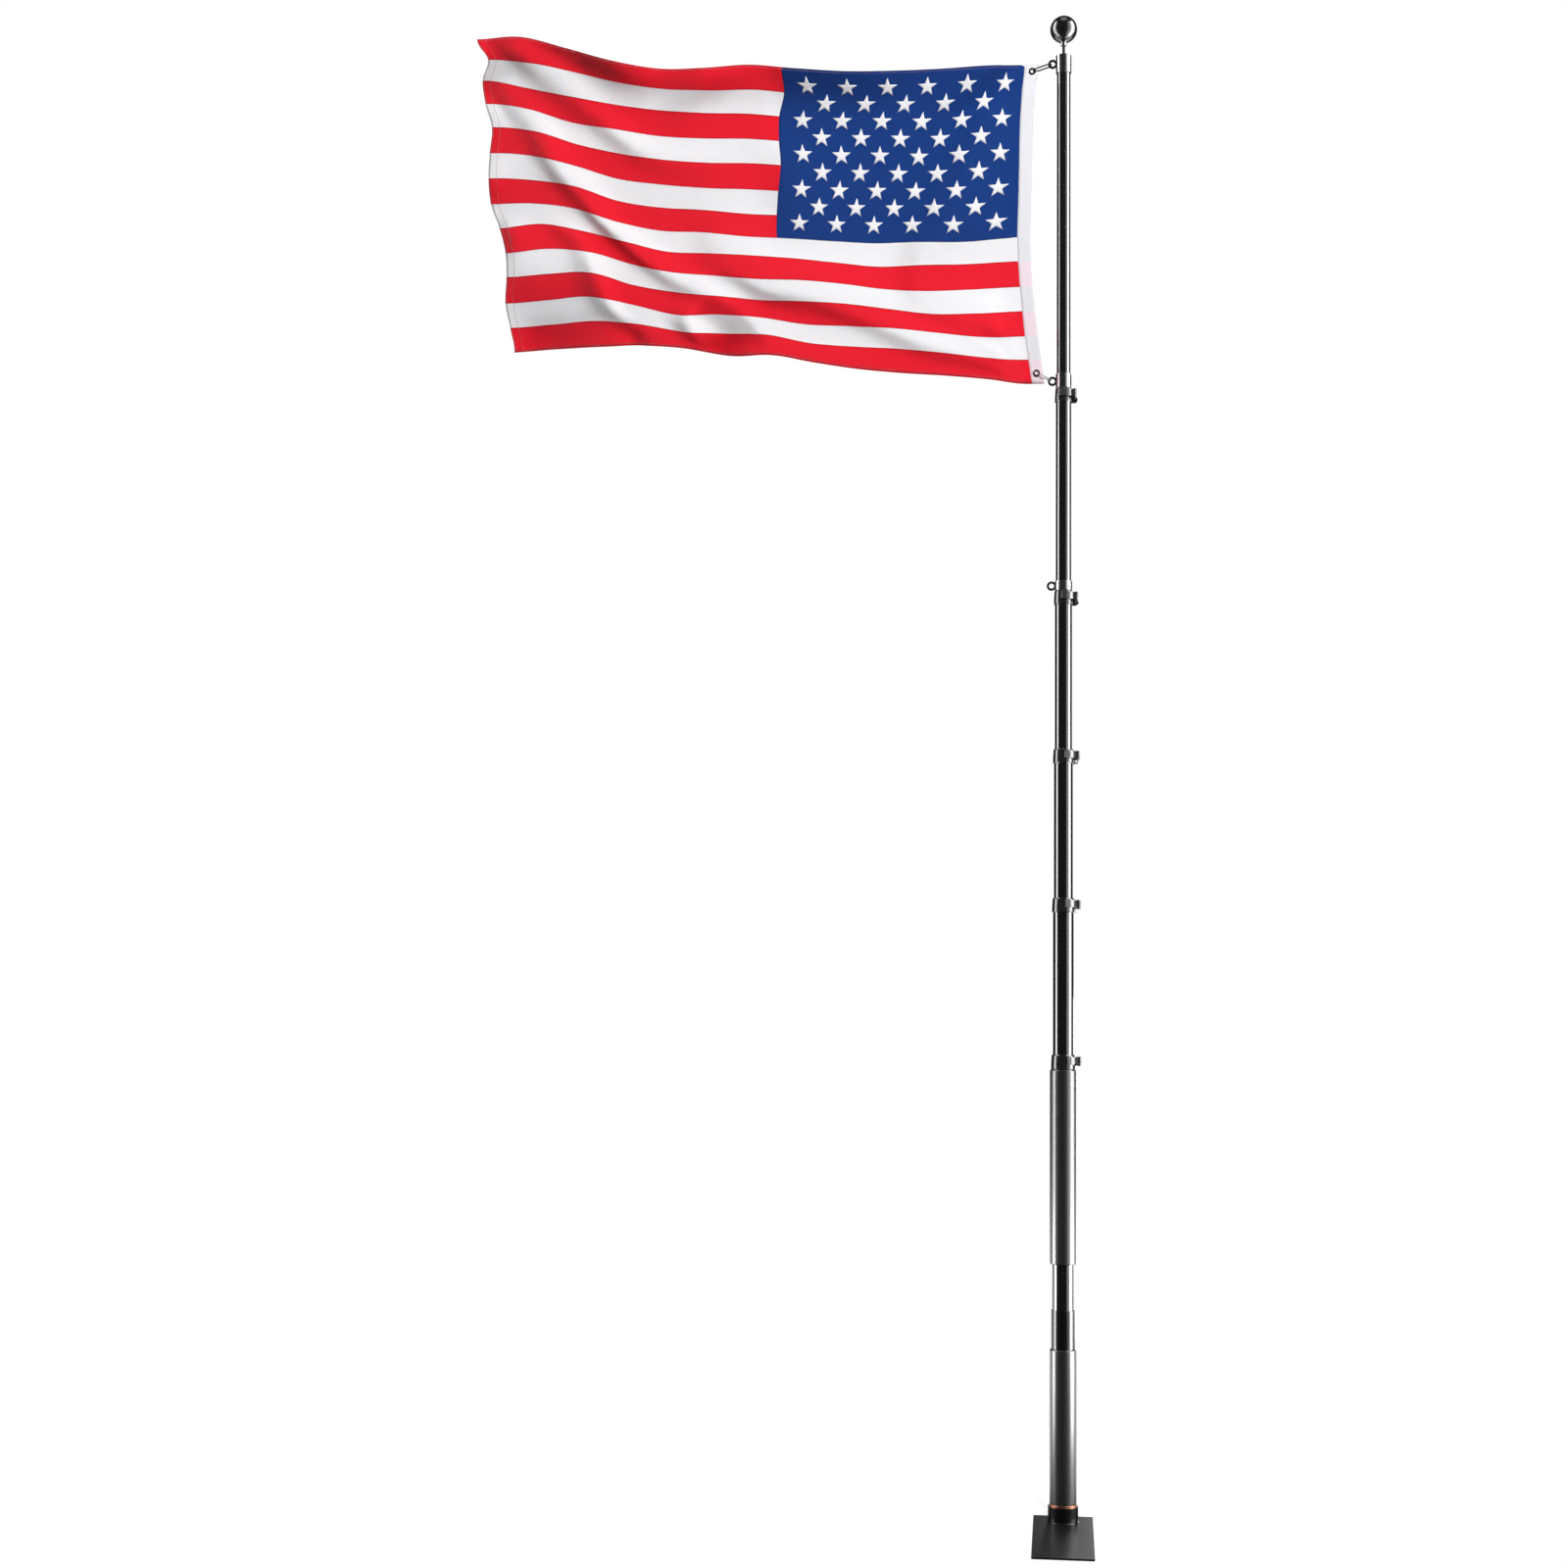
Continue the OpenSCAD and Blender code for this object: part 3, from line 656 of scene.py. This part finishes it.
# ---- Stars ----
# Fifty white nylon stars, cut out and sewn on both faces of the canton with one point up. They stand in
# nine rows of six and five in turn.
STAR_POINTS = 5
STAR_RADIUS = 0.0292
STAR_INNER = 0.39
STAR_THICK = 0.003
STAR_FIELD = 0.682
STAR_COLUMNS = 12
STAR_ROWS = 10

stars = bmesh.new()
for row in range(1, STAR_ROWS):
    for column in range(2 - row % 2, STAR_COLUMNS, 2):
        centre = Vector((STAR_FIELD * column / STAR_COLUMNS, 0, canton_height * row / STAR_ROWS))
        upright = Matrix.Translation(centre) @ Matrix.Rotation(math.radians(90), 4, "X")
        ring = bmesh.ops.create_circle(
            stars, cap_ends=True, cap_tris=True, segments=2 * STAR_POINTS, radius=STAR_RADIUS,
            matrix=upright)
        for vert in ring["verts"]:
            spoke = vert.co - centre
            angle = math.degrees(math.atan2(spoke.x, -spoke.z))
            if spoke.length > STAR_RADIUS / 2 and round(angle * STAR_POINTS / 180) % 2:
                vert.co = centre + spoke * STAR_INNER
bmesh.ops.subdivide_edges(stars, edges=stars.edges, cuts=1, use_grid_fill=True)
map_flat(stars)
fly_points(stars)
stars_piece = sewn_piece(stars, "flag_stars", STAR_THICK, "flag_fabric", white_nylon)


# ---- Seams and hems ----
# Felled seams join the nylon strips, and show as a darker line of doubled cloth. The top and bottom edges
# have a narrow hem with one row of lockstitch, and the fly edge has a wide one with two rows.
SEAM_WIDTH = 0.002
SEAM_THICK = 0.0014
SEAM_BLUE = 1
CANTON_ROWS = 60
FLY_ROWS_IN_STRIPE = 8
HEM_WIDTH = 0.006
FLY_HEM = 0.024
FLY_EDGE_STITCH = 0.004
STITCH_LENGTH = 0.0034
STITCH_PITCH = 0.0052
STITCH_WIDTH = 0.0009
STITCH_THICK = 0.0022
FIRST_STITCH = 4

seams = bmesh.new()
for stripe in range(1, STRIPES):
    edge = FLAG_HEIGHT * stripe / STRIPES
    start = CANTON_LENGTH if stripe <= CANTON_STRIPES else 0
    flat_grid(seams, start, FIELD_LENGTH, edge - SEAM_WIDTH / 2, edge + SEAM_WIDTH / 2, COLUMNS, 1)
canton_end = (CANTON_LENGTH - SEAM_WIDTH / 2, CANTON_LENGTH + SEAM_WIDTH / 2)
flat_grid(seams, *canton_end, 0, canton_height, 1, CANTON_ROWS, SEAM_BLUE)
for t in (SEAM_WIDTH / 2, canton_height):
    edges = (t - SEAM_WIDTH / 2, t + SEAM_WIDTH / 2)
    flat_grid(seams, CORNER_RADIUS, CANTON_LENGTH, *edges, COLUMNS // 2, 1, SEAM_BLUE)
flat_grid(seams, CANTON_LENGTH, FIELD_LENGTH, 0, SEAM_WIDTH, COLUMNS // 2, 1)
flat_grid(seams, 0, FIELD_LENGTH, FLAG_HEIGHT - SEAM_WIDTH, FLAG_HEIGHT, COLUMNS, 1)
for stripe in range(0, STRIPES, 2):
    top = FLAG_HEIGHT * stripe / STRIPES
    foot = top + FLAG_HEIGHT / STRIPES
    flat_grid(seams, FIELD_LENGTH - SEAM_WIDTH, FIELD_LENGTH, top, foot, 1, FLY_ROWS_IN_STRIPE)
map_flat(seams)
fly_points(seams)
seam_red = nylon("seam_red", (0.5, 0.004, 0.012))
seam_blue = nylon("seam_blue", (0.008, 0.02, 0.09))
seams_piece = sewn_piece(seams, "flag_seams", SEAM_THICK, "flag_fabric", seam_red, seam_blue)

stitches = bmesh.new()
for inset in (FLY_EDGE_STITCH, FLY_HEM):
    for place in range(1, int(FLAG_HEIGHT / STITCH_PITCH)):
        t = place * STITCH_PITCH
        s = FIELD_LENGTH - inset
        flat_grid(stitches, s - STITCH_WIDTH / 2, s + STITCH_WIDTH / 2, t, t + STITCH_LENGTH, 1, 1)
for t in (HEM_WIDTH, FLAG_HEIGHT - HEM_WIDTH):
    for place in range(FIRST_STITCH, int(FIELD_LENGTH / STITCH_PITCH) - 1):
        s = place * STITCH_PITCH
        flat_grid(stitches, s, s + STITCH_LENGTH, t - STITCH_WIDTH / 2, t + STITCH_WIDTH / 2, 1, 1)
map_flat(stitches)
fly_points(stitches)
thread = nylon("hem_thread", (0.36, 0.2, 0.22), 0.0)
stitches_piece = sewn_piece(stitches, "flag_stitches", STITCH_THICK, "flag_fabric", thread)


# ---- Header ----
# A doubled band of white canvas, sewn over the hoist's raw edge and carried by its two grommets. The ends
# of the red stripes below the canton show through it faintly.
HEADER_OVERLAP = 0.003
HEADER_THICK = 0.0018
HEADER_COLUMNS = 5
HEADER_ROWS = 78
CANVAS_THREADS = 900.0
CANVAS_DEPTH = 0.0003
CANVAS_WHITE = (0.69, 0.69, 0.73)
STRIPE_THROUGH = (0.79, 0.65, 0.72)

canvas, shade = new_material("header_canvas_white")
flat = shade.node("UVMap", {"uv_map": "flat"})
below_top = shade.node("SeparateXYZ", inputs={0: flat}, out="Y") * (STRIPES / FLAG_HEIGHT)
at_red = shade.maths("PINGPONG", below_top + 0.5, 1.0) > 0.5
in_red = at_red * (below_top > CANTON_STRIPES)
weave = shade.node("TexNoise", inputs={"Vector": flat, "Scale": CANVAS_THREADS, "Detail": 2.0})
rough = shade.node("Bump", inputs={
    "Strength": 0.5, "Distance": CANVAS_DEPTH, "Height": weave}, out="Normal")
show = in_red.mix(toned(CANVAS_WHITE), toned(STRIPE_THROUGH))
surface = shade.node("BsdfPrincipled", inputs={
    "Base Color": show,
    "Roughness": weave * 0.1 + 0.7,
    "Specular IOR Level": 0.2,
    "Normal": rough,
})
shade.node("OutputMaterial", inputs={"Surface": surface})

band = bmesh.new()
flat_grid(band, -HEADER_WIDTH, HEADER_OVERLAP, 0, FLAG_HEIGHT, HEADER_COLUMNS, HEADER_ROWS)
map_flat(band)
fly_points(band)
header = sewn_piece(band, "flag_hoist_band", HEADER_THICK, "header_canvas", canvas)
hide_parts("flag_header")


# ---- The flag's own meshes ----
# The flag hangs by its upper grommet, and its lower one rides on a ring that a wider tube carries.
# The cloth and each piece sewn to it get meshes of their own.
sewn_on = [stars_piece, seams_piece, stitches_piece, header]
for piece in (flag, *sewn_on):
    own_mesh(piece)
